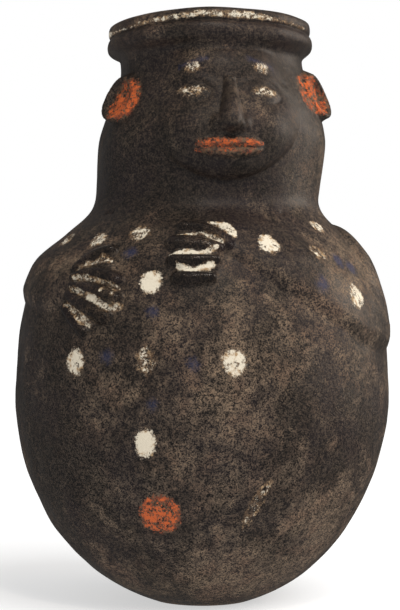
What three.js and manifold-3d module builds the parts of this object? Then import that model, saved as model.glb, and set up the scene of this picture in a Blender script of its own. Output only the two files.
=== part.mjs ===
// An anthropomorphic jar of fired clay: a round-bellied pot whose neck is a head, under a rolled and
// banded rim. Low-relief arms lie on the shoulders and the hands on the chest, with ribbed fingers.
// The ears are cupped lugs. The pot is hollow and open at the mouth, and all of it is one solid.
// Millimetres, +Z up, origin at the middle of the flat underside. The viewer in front looks along +Y.
// A turn is an angle round the axis in degrees: 0 faces the viewer, and 90 is +X.
import * as THREE from "three";
import { mergeVertices } from "three/addons/utils/BufferGeometryUtils.js";
import Module from "manifold-3d";

// Outline of the pot: the radius of each level, and how far it stands above the level before it
const BASE_RADIUS = 40;
const BELLY_RADIUS = 148;
const BELLY_HEIGHT = 161;
const SHOULDER_RADIUS = 128.5;
const SHOULDER_RISE = 107;
const NAPE_RADIUS = 104;
const NAPE_RISE = 27;
const NECK_RADIUS = 89.2;
const NECK_RISE = 24;
const HEAD_RADIUS = 91;
const HEAD_RISE = 38;
const COLLAR_RADIUS = 72.5;
const COLLAR_RISE = 68;
const ROLL_RADIUS = 82.5;
const ROLL_RISE = 16.5;
const GROOVE_DEPTH = 2.2;
const BAND_RADIUS = 81;
const BAND_RISE = 10.5;
const CREST_RADIUS = 77;
const CREST_RISE = 5.5;

const SHOULDER_HEIGHT = BELLY_HEIGHT + SHOULDER_RISE;
const NAPE_HEIGHT = SHOULDER_HEIGHT + NAPE_RISE;
const NECK_HEIGHT = NAPE_HEIGHT + NECK_RISE;
const HEAD_HEIGHT = NECK_HEIGHT + HEAD_RISE;
const COLLAR_HEIGHT = HEAD_HEIGHT + COLLAR_RISE;
const ROLL_HEIGHT = COLLAR_HEIGHT + ROLL_RISE;
const BAND_HEIGHT = ROLL_HEIGHT + BAND_RISE;
const HEIGHT = BAND_HEIGHT + CREST_RISE;

// How the hand-built pot wanders from its axis
const HEAD_SHIFT = 8.7; // how far the head stands to +X of the belly
const RIM_SHIFT = 5.9;
const RIM_TILT = 1.5; // the hand-built rim rises this much toward +X,
const RIM_SAG = 2.5; // and dips this much at both sides
const BASE_SHIFT = -1.3;

// Slopes of the outline, in degrees above the horizontal
const BASE_SLOPE = 18.7;
const SHOULDER_SLOPE = 121;
const NAPE_SLOPE = 139;

// Walls
const WALL = 7.5;
const FLOOR = 9;
const LIP = 10; // from the band in to the mouth's edge
const LIP_ROUND = 1.5;

// Arms
const ARM_RELIEF = 5;
const UPPER_ARM_HALF = 25;
const ELBOW_HALF = 25;
const FOREARM_HALF = 22;
const WRIST_HALF = 20;

// Hands
const FINGER_HALF = 5.6;
const FINGER_RELIEF = 6;
const PALM_RELIEF = 2.5;

// Face, laid out in thirds from the hairline to the chin
const FACE_TURN = 8;
const HAIRLINE_HEIGHT = COLLAR_HEIGHT + 11;
const CHIN_HEIGHT = NECK_HEIGHT + 8;
const FACE_HALF = 70;
const CHIN_HALF = 34;
const FOREHEAD_RADIUS = 84;
const BROW_RELIEF = 6;
const JAW_RELIEF = 11;
const NOSE_RELIEF = 13;
const WING_RELIEF = 5.5;
const LIP_RELIEF = 5;
const SOCKET_DEPTH = 3.2;
const EYE_RELIEF = 4;
const BROW_RIDGE = 2.6;
const CHEEK_RELIEF = 2.6;
const CHIN_RELIEF = 4;

// Ears, each with how far its middle stands above the widest part of the head
const ears = [
  { turn: -58, rise: 36, lift: 12 },
  { turn: 77, rise: 41, lift: 14 },
];
const EAR_HALF_WIDTH = 17;
const EAR_HALF_TALL = 20;
const EAR_HEADING = 64; // the way an ear stands out, from straight ahead

// Facets
const COLUMN = 8; // degrees between the columns of the body in front and at the sides
const BACK_COLUMN = 14;
const BACK_TURN = 132; // where the wider columns start
const HOLLOW_COLUMN = 18;
const BELLY_ROW = 24;
const SHOULDER_ROW = 9;
const JAW_ROW = 20;
const BROW_ROW = 14;
const RIM_ROW = 5;
const HOLLOW_ROW = 27;
const FACE_FACET = 4.7;
const SKIRT = 1.5; // how far the edge of a piece of relief sinks into the pot
const OVERRUN = 1; // how far the hollow's cutter runs past the lip

const clay = new THREE.MeshStandardMaterial({
  color: 0x2f2822,
  roughness: 0.55,
  metalness: 0,
});

const rad = THREE.MathUtils.degToRad;
const lerp = THREE.MathUtils.lerp;
const smooth = THREE.MathUtils.smoothstep;

// The outline, from the middle of the underside up to the crest of the lip
function outlinePath() {
  const path = new THREE.Path();
  const toward = (r, z, slope, length) => [
    r + length * Math.cos(rad(slope)),
    z + length * Math.sin(rad(slope)),
  ];
  path.moveTo(0, 0);
  path.lineTo(BASE_RADIUS, 0);
  const rise = BELLY_HEIGHT * 0.59;
  path.bezierCurveTo(
    ...toward(BASE_RADIUS, 0, BASE_SLOPE, rise),
    BELLY_RADIUS, BELLY_HEIGHT * 0.76, BELLY_RADIUS, BELLY_HEIGHT,
  );
  const shoulder = SHOULDER_HEIGHT - BELLY_HEIGHT;
  path.bezierCurveTo(
    BELLY_RADIUS, BELLY_HEIGHT + shoulder * 0.45,
    ...toward(SHOULDER_RADIUS, SHOULDER_HEIGHT, SHOULDER_SLOPE, -shoulder * 0.28),
    SHOULDER_RADIUS, SHOULDER_HEIGHT,
  );
  const nape = NAPE_HEIGHT - SHOULDER_HEIGHT;
  path.bezierCurveTo(
    ...toward(SHOULDER_RADIUS, SHOULDER_HEIGHT, SHOULDER_SLOPE + 4, nape * 0.44),
    ...toward(NAPE_RADIUS, NAPE_HEIGHT, NAPE_SLOPE, -nape * 0.44),
    NAPE_RADIUS, NAPE_HEIGHT,
  );
  const neck = NECK_HEIGHT - NAPE_HEIGHT;
  path.bezierCurveTo(
    ...toward(NAPE_RADIUS, NAPE_HEIGHT, NAPE_SLOPE, neck * 0.46),
    NECK_RADIUS, NECK_HEIGHT - neck * 0.46, NECK_RADIUS, NECK_HEIGHT,
  );
  const jaw = HEAD_HEIGHT - NECK_HEIGHT;
  path.bezierCurveTo(
    NECK_RADIUS, NECK_HEIGHT + jaw / 3, HEAD_RADIUS, HEAD_HEIGHT - jaw / 3, HEAD_RADIUS, HEAD_HEIGHT,
  );
  const brow = COLLAR_HEIGHT - HEAD_HEIGHT;
  path.bezierCurveTo(
    HEAD_RADIUS, HEAD_HEIGHT + brow * 0.38,
    COLLAR_RADIUS, COLLAR_HEIGHT - brow * 0.35, COLLAR_RADIUS, COLLAR_HEIGHT,
  );
  const flare = ROLL_HEIGHT - COLLAR_HEIGHT;
  path.bezierCurveTo(
    COLLAR_RADIUS, COLLAR_HEIGHT + flare * 0.5,
    ROLL_RADIUS, ROLL_HEIGHT - flare * 0.55, ROLL_RADIUS, ROLL_HEIGHT,
  );
  const grooveRadius = Math.min(ROLL_RADIUS, BAND_RADIUS) - GROOVE_DEPTH;
  const grooveHeight = lerp(ROLL_HEIGHT, BAND_HEIGHT, 0.6);
  path.quadraticCurveTo(ROLL_RADIUS, lerp(ROLL_HEIGHT, grooveHeight, 0.6), grooveRadius, grooveHeight);
  path.quadraticCurveTo(BAND_RADIUS, lerp(grooveHeight, BAND_HEIGHT, 0.2), BAND_RADIUS, BAND_HEIGHT);
  path.quadraticCurveTo(BAND_RADIUS, HEIGHT, CREST_RADIUS, HEIGHT);
  return path;
}

// The outline as close-set points with the distance along it and the outward normal
function measured(path, divisions) {
  const points = path.getPoints(divisions).filter((p, i, all) => !i || p.distanceTo(all[i - 1]) > 1e-6);
  let along = 0;
  return points.map((p, i) => {
    if (i) along += p.distanceTo(points[i - 1]);
    const before = points[Math.max(i - 1, 0)];
    const after = points[Math.min(i + 1, points.length - 1)];
    const tangent = after.clone().sub(before).normalize();
    return { along, r: p.x, z: p.y, nr: tangent.y, nz: -tangent.x };
  });
}
const outline = measured(outlinePath(), 24);
const outlineLength = outline[outline.length - 1].along;

// The outline at a distance along it
function outlineAt(along) {
  let i = outline.findIndex((p) => p.along >= along);
  if (i < 1) i = i < 0 ? outline.length - 1 : 1;
  const [a, b] = [outline[i - 1], outline[i]];
  const t = THREE.MathUtils.clamp((along - a.along) / (b.along - a.along), 0, 1);
  const mix = (key) => lerp(a[key], b[key], t);
  return { along, r: mix("r"), z: mix("z"), nr: mix("nr"), nz: mix("nz") };
}

// The distance along the outline at which it first reaches a height
function alongAt(height) {
  const i = outline.findIndex((p) => p.z >= height);
  const [a, b] = [outline[i - 1], outline[i]];
  return lerp(a.along, b.along, (height - a.z) / (b.z - a.z));
}
const shoulderAlong = alongAt(SHOULDER_HEIGHT);

// How far the pot's middle stands to +X at a height, as the hand-built pot wanders from its axis
function shiftAt(z) {
  const lean = HEAD_SHIFT * smooth(z, SHOULDER_HEIGHT - 20, NECK_HEIGHT + 80);
  const foot = BASE_SHIFT * (smooth(z, 0, BASE_RADIUS) - smooth(z, BASE_RADIUS, BELLY_HEIGHT));
  return lean + foot - (HEAD_SHIFT - RIM_SHIFT) * smooth(z, NECK_HEIGHT + 80, ROLL_HEIGHT);
}

// A point at a turn, a radius and a height, on the wandering axis and the uneven rim
function placed(turn, r, z) {
  const [sin, cos] = [Math.sin(rad(turn)), -Math.cos(rad(turn))];
  const uneven = (RIM_TILT * sin - RIM_SAG * sin * sin) * smooth(z, COLLAR_HEIGHT, ROLL_HEIGHT);
  return new THREE.Vector3(r * sin + shiftAt(z), r * cos, z + uneven);
}

// A point of the plain pot, with its outward direction
function plainPoint(turn, p) {
  const [sin, cos] = [Math.sin(rad(turn)), -Math.cos(rad(turn))];
  return {
    point: placed(turn, p.r, p.z),
    normal: new THREE.Vector3(p.nr * sin, p.nr * cos, p.nz),
  };
}

// A closed solid under a grid of points, which runs across and then up as seen from outside. It
// narrows to a point on the axis, at the height given.
function solidUnder(grid, height) {
  const [tall, wide] = [grid.length - 1, grid[0].length - 1];
  const points = grid.flat();
  const apex = points.length;
  points.push(new THREE.Vector3(shiftAt(height), 0, height));
  const at = (i, j) => j * (wide + 1) + i;
  const faces = [];
  for (let j = 0; j < tall; j++) {
    for (let i = 0; i < wide; i++) {
      faces.push(at(i, j), at(i + 1, j), at(i + 1, j + 1));
      faces.push(at(i, j), at(i + 1, j + 1), at(i, j + 1));
    }
    faces.push(at(0, j), at(0, j + 1), apex, at(wide, j + 1), at(wide, j), apex);
  }
  for (let i = 0; i < wide; i++) {
    faces.push(at(i + 1, 0), at(i, 0), apex, at(i, tall), at(i + 1, tall), apex);
  }
  return solid({ points, faces });
}

// A raised band with rounded ends, laid on the pot along stations of turn, distance along the
// outline and half-width. It is highest in the middle, and a higher power makes it flatter. A band
// with a soft side (1 for the right of its way, -1 for the left) is wider and gentler there.
const SOFT_WIDTH = 1.8;
const SOFT_POWER = 1.4;
function bandSolid({ stations, relief, power, steps, across, soft = 0 }) {
  const curve = new THREE.CatmullRomCurve3(stations.map((s) => new THREE.Vector3(...s)));
  const middle = curve.getPoint(0.5);
  const inMillimetres = (s) => new THREE.Vector2(rad(s.x) * outlineAt(middle.y).r, s.y);
  const ends = [0, 1].map((t) => inMillimetres(curve.getPoint(t)));
  const grid = [];
  for (let j = 0; j <= steps; j++) {
    const t = (1 - Math.cos((Math.PI * j) / steps)) / 2;
    const station = curve.getPoint(t);
    const place = inMillimetres(station);
    const fromEnd = Math.min(place.distanceTo(ends[0]), place.distanceTo(ends[1])) / station.z;
    const rounding = Math.sqrt(1 - (1 - Math.min(1, fromEnd)) ** 2);
    const ahead = inMillimetres(curve.getPoint(Math.min(1, t + 0.01)));
    const side = ahead.sub(inMillimetres(curve.getPoint(Math.max(0, t - 0.01)))).normalize();
    const half = station.z * Math.max(rounding, 0.3);
    const r = outlineAt(station.y).r;
    grid.push(
      Array.from({ length: across + 1 }, (_, i) => {
        const offset = (2 * i) / across - 1;
        const gentle = offset * soft > 0;
        const reach = offset * half * (gentle ? SOFT_WIDTH : 1);
        const turn = station.x + THREE.MathUtils.radToDeg((side.y * reach) / r);
        const { point, normal } = plainPoint(turn, outlineAt(station.y - side.x * reach));
        const lift = relief * rounding * (1 - Math.abs(offset) ** (gentle ? SOFT_POWER : power));
        const edge = i === 0 || i === across || j === 0 || j === steps;
        return point.addScaledVector(normal, edge ? -SKIRT : lift);
      }),
    );
  }
  return solidUnder(grid, outlineAt(middle.y).z);
}

// Arms: each goes from the shoulder down to the elbow and back up to the wrist. A place on an arm is
// its turn and how far it lies above the pot's shoulder along the outline.
const arms = [
  {
    shoulder: [-95, -1],
    elbow: [-106, -18],
    forearm: [-82, -13],
    wrist: [-52, -24],
    soft: -1,
  },
  {
    shoulder: [83, 14],
    elbow: [73, -50],
    forearm: [50, -36],
    wrist: [12, 19],
    soft: 1,
  },
];

function armSolids(arm) {
  const soft = arm.soft;
  const [shoulder, elbow, forearm, wrist] = ["shoulder", "elbow", "forearm", "wrist"].map((name) => {
    const [turn, above] = arm[name];
    return [turn, shoulderAlong + above];
  });
  const between = elbow.map((v, k) => lerp(v, shoulder[k], 0.5));
  const upper = [
    [...elbow, ELBOW_HALF],
    [...between, ELBOW_HALF],
    [...shoulder, UPPER_ARM_HALF],
  ];
  const fore = [
    [...elbow, ELBOW_HALF],
    [...forearm, FOREARM_HALF],
    [...wrist, WRIST_HALF],
  ];
  const shape = { relief: ARM_RELIEF, power: 3, across: 8 };
  return [
    bandSolid({ ...shape, stations: upper, steps: 9 }),
    bandSolid({ ...shape, stations: fore, steps: 12, soft }),
  ];
}

// Hands: the digits fan out from the wrist. A digit starts at a place [across, up] from the hand's
// middle, leaves at an angle above the +X direction, bends on its way, and has its own length.
const hands = [
  {
    turn: -36.5,
    along: shoulderAlong - 25,
    palm: { reach: 22, half: 31 },
    digits: [
      { start: [-18, 15], angle: 50, bend: -40, length: 32, half: 0.95 },
      { start: [-17, 8], angle: 24, bend: -54, length: 42, half: 1 },
      { start: [-16, 2], angle: -2, bend: -22, length: 43, half: 1 },
      { start: [-18, -5.5], angle: -28, bend: 8, length: 40, half: 1.1 },
      { start: [-20, -15], angle: -42, bend: 4, length: 27, half: 1 },
    ],
  },
  {
    turn: -2,
    along: shoulderAlong + 11,
    palm: { reach: 20, half: 29 },
    digits: [
      { start: [23, -3], angle: 116, bend: 66, length: 42, half: 1 },
      { start: [15, -4], angle: 158, bend: 24, length: 32, half: 1.3 },
      { start: [14, -14], angle: 184, bend: -6, length: 31, half: 0.9 },
      { start: [11, -28], angle: 181, bend: 0, length: 23, half: 1.05 },
    ],
  },
];

function digitStations(hand, { start, angle, bend, length, half }) {
  const steps = 5;
  const stations = [];
  let [across, up] = start;
  for (let i = 0; i <= steps; i++) {
    const p = outlineAt(hand.along + up);
    const width = FINGER_HALF * half * lerp(0.72, 1, smooth(i / steps, 0, 0.5));
    stations.push([hand.turn + THREE.MathUtils.radToDeg(across / p.r), p.along, width]);
    const heading = rad(angle + (bend * (i + 0.5)) / steps);
    across += (length / steps) * Math.cos(heading);
    up += (length / steps) * Math.sin(heading);
  }
  return stations;
}

function handSolids(hand) {
  const digits = hand.digits.map((digit) =>
    bandSolid({
      stations: digitStations(hand, digit),
      relief: FINGER_RELIEF,
      power: 2,
      steps: 8,
      across: 6,
    }),
  );
  const reach = THREE.MathUtils.radToDeg(hand.palm.reach / outlineAt(hand.along).r);
  const palm = bandSolid({
    stations: [-1, 0, 1].map((k) => [hand.turn + k * reach, hand.along, hand.palm.half]),
    relief: PALM_RELIEF,
    power: 4,
    steps: 8,
    across: 8,
  });
  return [palm, ...digits];
}

// Face, in millimetres across from its midline and up from the floor
const THIRD = (HAIRLINE_HEIGHT - CHIN_HEIGHT) / 3;
const BROW_HEIGHT = HAIRLINE_HEIGHT - THIRD;
const NOSE_HEIGHT = BROW_HEIGHT - THIRD;
const EYE_HEIGHT = BROW_HEIGHT - THIRD / 4;
const MOUTH_HEIGHT = NOSE_HEIGHT - THIRD / 3;
const EYE_WIDTH = (2 * FACE_HALF) / 4.6;

const hump = (a, b) => Math.exp(-(a * a) - b * b);
const cap = (q, power) => Math.max(0, 1 - q * q) ** power;

// Where a place lies between the middle of the face (0) and its edge (1)
function faceShare(across, up) {
  const down = THREE.MathUtils.clamp((BROW_HEIGHT - up) / (BROW_HEIGHT - CHIN_HEIGHT), 0, 1);
  const half = lerp(FACE_HALF, CHIN_HALF, down ** 2.2);
  const middle = (HAIRLINE_HEIGHT + CHIN_HEIGHT) / 2;
  const tall = HAIRLINE_HEIGHT - middle;
  return Math.abs(across / half) ** 2.4 + Math.abs((up - middle) / tall) ** 4;
}

function faceMask(across, up) {
  const down = THREE.MathUtils.clamp((BROW_HEIGHT - up) / (BROW_HEIGHT - CHIN_HEIGHT), 0, 1);
  const forehead = Math.max(BROW_RELIEF, FOREHEAD_RADIUS - outlineAt(alongAt(up)).r);
  const inner = Math.max(0, 1 - faceShare(across, up));
  return lerp(forehead, JAW_RELIEF, down) * inner ** lerp(1.5, 0.5, down);
}

// The features measure across in eye widths from the midline, and up in thirds from a line's height.
function nose(across, up) {
  const bridge = BROW_HEIGHT + THIRD * 0.055;
  const down = (bridge - up) / (bridge - NOSE_HEIGHT);
  if (down < 0 || down > 1.15) return 0;
  const half = lerp(0.165, 0.345, down ** 1.6);
  const ridge = NOSE_RELIEF * lerp(0.22, 1, smooth(down, 0, 0.92)) * (1 - smooth(down, 0.97, 1.14));
  const above = (up - NOSE_HEIGHT) / THIRD;
  const wings = WING_RELIEF * hump((across - 0.28) / 0.15, (above - 0.096) / 0.127);
  return Math.max(ridge * cap(across / half, 0.75), wings);
}

function mouth(across, up) {
  const above = (up - MOUTH_HEIGHT) / THIRD;
  const taper = cap(across / 0.8, 0.5);
  const lips = cap(above / (0.22 * taper + 1e-3), 0.6);
  const parting = 0.7 * hump(0, above / 0.047);
  return LIP_RELIEF * taper * lips * (1 - parting);
}

function eye(across, up) {
  const side = across - 1;
  const above = (up - EYE_HEIGHT) / THIRD;
  const socket = SOCKET_DEPTH * hump(side / 0.49, (above - 0.03) / 0.22);
  const lid = cap(side / 0.5, 0.7);
  const ball = EYE_RELIEF * lid * cap(above / (0.18 * lid + 1e-3), 0.6);
  const overBrow = (up - BROW_HEIGHT) / THIRD;
  const brow = BROW_RIDGE * hump(side / 0.56, (overBrow - 0.03 + 0.24 * side * side) / 0.12);
  return ball + brow - socket;
}

function faceRelief(across, up) {
  const mask = faceMask(across, up);
  const fade = smooth(mask, 0, 2.5);
  const wide = Math.abs(across) / EYE_WIDTH;
  const chin = CHIN_RELIEF * hump(wide / 0.56, ((up - CHIN_HEIGHT) / THIRD - 0.36) / 0.25);
  const cheeks = CHEEK_RELIEF * hump((wide - 1.08) / 0.49, ((up - NOSE_HEIGHT) / THIRD - 0.11) / 0.39);
  return mask + fade * (chin + cheeks + nose(wide, up) + mouth(wide, up) + eye(wide, up));
}

function facePoint(across, up, edge) {
  const turn = FACE_TURN + THREE.MathUtils.radToDeg(across / HEAD_RADIUS);
  const { point, normal } = plainPoint(turn, outlineAt(alongAt(up)));
  return point.addScaledVector(normal, edge ? -SKIRT : faceRelief(across, up));
}

// The face on a grid whose border is drawn in to the edge of the face
function faceSolid() {
  const middle = (HAIRLINE_HEIGHT + CHIN_HEIGHT) / 2;
  const tall = HAIRLINE_HEIGHT - middle;
  const wide = Math.ceil((2 * FACE_HALF) / FACE_FACET);
  const high = Math.ceil((2 * tall) / FACE_FACET);
  const grid = [];
  for (let j = 0; j <= high; j++) {
    const row = [];
    for (let i = 0; i <= wide; i++) {
      const [x, y] = [(2 * i) / wide - 1, (2 * j) / high - 1];
      const out = Math.max(Math.abs(x), Math.abs(y), 1e-6);
      let [near, far] = [0, 1];
      for (let k = 0; k < 20; k++) {
        const t = (near + far) / 2;
        const inside = faceShare((t * x * FACE_HALF) / out, middle + (t * y * tall) / out) < 1;
        [near, far] = inside ? [t, far] : [near, t];
      }
      const t = lerp(1, near, out ** 2);
      row.push(facePoint(t * x * FACE_HALF, middle + t * y * tall, out === 1));
    }
    grid.push(row);
  }
  return solidUnder(grid, middle);
}

// Ears: cupped lugs. The rim stands out most at the back, and the cup opens onto the cheek. The
// rings run from the foot of the rim, over its crest and down into the cup: [share of the ear's
// size, share of its lift].
const EAR_RINGS = [
  [1.1, 0],
  [1.03, 0.6],
  [0.94, 0.96],
  [0.84, 1],
  [0.74, 0.84],
  [0.6, 0.52],
  [0.36, 0.38],
];
const EAR_SPOKES = 18;

function earSolid(ear) {
  const side = Math.sign(ear.turn);
  const heading = rad(side * EAR_HEADING);
  const outward = new THREE.Vector3(Math.sin(heading), -Math.cos(heading), 0);
  const height = HEAD_HEIGHT + ear.rise;
  const middle = outlineAt(alongAt(height));
  const at = (share, lift, spoke) => {
    const angle = (2 * Math.PI * spoke) / EAR_SPOKES;
    const back = share * Math.cos(angle);
    const turn = ear.turn + side * THREE.MathUtils.radToDeg((back * EAR_HALF_WIDTH) / middle.r);
    const p = outlineAt(middle.along + share * Math.sin(angle) * EAR_HALF_TALL);
    const { point, normal } = plainPoint(turn, p);
    if (!lift) return point.addScaledVector(normal, -SKIRT);
    const lean = 0.58 + 0.42 * back;
    return point.addScaledVector(outward, ear.lift * lift * lean);
  };
  const order = Array.from({ length: EAR_SPOKES }, (_, i) => side * i);
  const rings = EAR_RINGS.map(([share, lift]) => order.map((spoke) => at(share, lift, spoke)));
  const cup = EAR_RINGS[EAR_RINGS.length - 1][1];
  return solid(skinOfRings(new THREE.Vector3(shiftAt(height), 0, height), rings, at(0, cup, 0)));
}

// Distances along the outline, no further apart than a given gap, between two distances
function rows(from, to, gap) {
  const count = Math.ceil((to - from) / gap);
  return Array.from({ length: count }, (_, i) => lerp(from, to, i / count));
}

// A closed skin over rings of points, with a point at each end
function skinOfRings(first, rings, last) {
  const wide = rings[0].length;
  const points = [first, ...rings.flat(), last];
  const at = (ring, i) => 1 + ring * wide + (i % wide);
  const end = points.length - 1;
  const faces = [];
  for (let i = 0; i < wide; i++) {
    faces.push(0, at(0, i + 1), at(0, i));
    for (let ring = 0; ring < rings.length - 1; ring++) {
      faces.push(at(ring, i), at(ring, i + 1), at(ring + 1, i + 1));
      faces.push(at(ring, i), at(ring + 1, i + 1), at(ring + 1, i));
    }
    faces.push(end, at(rings.length - 1, i), at(rings.length - 1, i + 1));
  }
  return { points, faces };
}

const wasm = await Module();
wasm.setup();

function solid({ points, faces }) {
  return new wasm.Manifold(
    new wasm.Mesh({
      numProp: 3,
      vertProperties: new Float32Array(points.flatMap((p) => [p.x, p.y, p.z])),
      triVerts: new Uint32Array(faces),
    }),
  );
}

// The turns of the body's columns: close in front and at the sides, wider at the back
function columnTurns() {
  const front = rows(-BACK_TURN, BACK_TURN, COLUMN);
  return [...front, ...rows(BACK_TURN, 360 - BACK_TURN, BACK_COLUMN)];
}

function bodySolid() {
  const alongs = [
    ...rows(BASE_RADIUS, alongAt(BELLY_HEIGHT), BELLY_ROW),
    ...rows(alongAt(BELLY_HEIGHT), shoulderAlong, BELLY_ROW),
    ...rows(shoulderAlong, alongAt(NECK_HEIGHT), SHOULDER_ROW),
    ...rows(alongAt(NECK_HEIGHT), alongAt(HEAD_HEIGHT), JAW_ROW),
    ...rows(alongAt(HEAD_HEIGHT), alongAt(COLLAR_HEIGHT), BROW_ROW),
    ...rows(alongAt(COLLAR_HEIGHT), outlineLength, RIM_ROW),
    outlineLength,
  ];
  const turns = columnTurns();
  const rings = alongs.map((along) => turns.map((turn) => plainPoint(turn, outlineAt(along)).point));
  const first = new THREE.Vector3(0, 0, 0);
  const last = new THREE.Vector3(shiftAt(HEIGHT), 0, HEIGHT);
  return solid(skinOfRings(first, rings, last));
}

// The hollow: the outline set in by the wall, then the mouth's edge up through the lip
function hollowSolid() {
  const mouthRadius = Math.min(COLLAR_RADIUS - WALL, BAND_RADIUS - LIP);
  const profile = [];
  for (const along of rows(BASE_RADIUS * 0.6, alongAt(COLLAR_HEIGHT), HOLLOW_ROW)) {
    const p = outlineAt(along);
    profile.push([p.r - WALL * p.nr, Math.max(p.z - WALL * p.nz, FLOOR)]);
  }
  profile.push([mouthRadius, COLLAR_HEIGHT]);
  profile.push([mouthRadius, lerp(COLLAR_HEIGHT, HEIGHT, 0.55)]);
  profile.push([BAND_RADIUS - LIP, HEIGHT - LIP_ROUND]);
  profile.push([BAND_RADIUS - LIP + LIP_ROUND, HEIGHT + OVERRUN]);
  const turns = rows(-180, 180, HOLLOW_COLUMN);
  const rings = profile.map(([r, z]) => turns.map((turn) => placed(turn, r, z)));
  const first = new THREE.Vector3(0, 0, FLOOR);
  const last = new THREE.Vector3(shiftAt(HEIGHT), 0, HEIGHT + OVERRUN);
  return solid(skinOfRings(first, rings, last));
}

function jarMesh() {
  const reliefs = [
    faceSolid(),
    ...ears.map(earSolid),
    ...arms.flatMap(armSolids),
    ...hands.flatMap(handSolids),
  ];
  let jar = bodySolid();
  for (const relief of reliefs) jar = jar.add(relief);
  jar = jar.subtract(hollowSolid());
  const { vertProperties, triVerts } = jar.getMesh();
  const geometry = new THREE.BufferGeometry();
  geometry.setAttribute("position", new THREE.BufferAttribute(vertProperties, 3));
  geometry.setIndex(new THREE.BufferAttribute(triVerts, 1));
  const merged = mergeVertices(geometry, 1e-3);
  merged.computeVertexNormals();
  const mesh = new THREE.Mesh(merged, clay);
  mesh.name = "jar";
  return mesh;
}

const group = new THREE.Group();
group.add(jarMesh());

export default group;
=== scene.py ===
"""An anthropomorphic jar of dark burnished clay with worn white, orange and blue paint.

The jar is one closed mesh: a fine grid of columns (turns round the axis) and rows (distances along
the pot's section), shaped by the same outline, arms, hands, ears and face as the solid. The paint
is kept as fields on the mesh's points, and the material wears their edges. Clay sizes are in
millimetres, as in the solid. A turn of 0 degrees faces the camera, and 90 is +X.
"""

import math

import bpy
import numpy as np
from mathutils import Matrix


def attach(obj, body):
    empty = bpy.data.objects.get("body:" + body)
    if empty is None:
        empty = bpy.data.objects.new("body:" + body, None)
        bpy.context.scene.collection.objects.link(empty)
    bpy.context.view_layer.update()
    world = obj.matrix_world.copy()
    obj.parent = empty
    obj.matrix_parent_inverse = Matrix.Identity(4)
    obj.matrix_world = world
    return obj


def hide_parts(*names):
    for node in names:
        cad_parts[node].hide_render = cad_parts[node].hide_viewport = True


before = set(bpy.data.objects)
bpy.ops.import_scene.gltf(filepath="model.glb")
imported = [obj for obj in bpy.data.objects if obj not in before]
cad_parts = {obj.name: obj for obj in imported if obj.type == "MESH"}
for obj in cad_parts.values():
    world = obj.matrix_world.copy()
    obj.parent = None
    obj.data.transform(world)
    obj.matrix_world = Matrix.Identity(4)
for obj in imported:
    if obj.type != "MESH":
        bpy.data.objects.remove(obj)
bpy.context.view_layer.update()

MM = 0.001

# Outline of the pot, as the solid has it: the radius and height of each level
BASE_RADIUS = 40
BELLY_RADIUS, BELLY_HEIGHT = 148, 161
SHOULDER_RADIUS, SHOULDER_HEIGHT = 128.5, BELLY_HEIGHT + 107
NAPE_RADIUS, NAPE_HEIGHT = 104, SHOULDER_HEIGHT + 27
NECK_RADIUS, NECK_HEIGHT = 89.2, NAPE_HEIGHT + 24
HEAD_RADIUS, HEAD_HEIGHT = 91, NECK_HEIGHT + 38
COLLAR_RADIUS, COLLAR_HEIGHT = 72.5, HEAD_HEIGHT + 68
ROLL_RADIUS, ROLL_HEIGHT = 82.5, COLLAR_HEIGHT + 16.5
GROOVE_DEPTH = 2.2
BAND_RADIUS, BAND_HEIGHT = 81, ROLL_HEIGHT + 10.5
CREST_RADIUS, HEIGHT = 77, BAND_HEIGHT + 5.5
# The outline's slopes in degrees, how far the levels lie off the axis, and the uneven rim
BASE_SLOPE, SHOULDER_SLOPE, NAPE_SLOPE = 18.7, 121, 139
HEAD_SHIFT, RIM_SHIFT, BASE_SHIFT = 8.7, 5.9, -1.3
LEAN_START, LEAN_END = SHOULDER_HEIGHT - 20, NECK_HEIGHT + 80
RIM_TILT, RIM_SAG = 1.5, 2.5
# Thickness of the wall and the floor, and of the lip at its crest
WALL, FLOOR, LIP = 7.5, 9, 10

# The photograph's frame in pixels, and its camera's place in metres
PHOTO_WIDE, PHOTO_TALL = 400, 610
PIXELS_PER_METRE = 1250
CAMERA_DISTANCE = 1.3
CAMERA_HEIGHT = 0.2333
CAMERA_SIDE = -0.0018

rng = np.random.default_rng(seed=11)


def smooth(x, low, high):
    t = np.clip((x - low) / (high - low), 0, 1)
    return t * t * (3 - 2 * t)


def lerp(a, b, t):
    return a + (b - a) * t


def hump(a, b=0.0):
    return np.exp(-(a * a) - b * b)


def cap(q, power):
    return np.maximum(0, 1 - q * q) ** power


# Section of the pot


def bezier(*points, count=48):
    p = [np.array(q, float) for q in points]
    t = np.linspace(0, 1, count)[:, None]
    if len(p) == 3:
        return (1 - t) ** 2 * p[0] + 2 * (1 - t) * t * p[1] + t * t * p[2]
    return (
        (1 - t) ** 3 * p[0]
        + 3 * (1 - t) ** 2 * t * p[1]
        + 3 * (1 - t) * t * t * p[2]
        + t**3 * p[3]
    )


def toward(r, z, slope, length):
    return r + length * math.cos(math.radians(slope)), z + length * math.sin(math.radians(slope))


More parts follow.
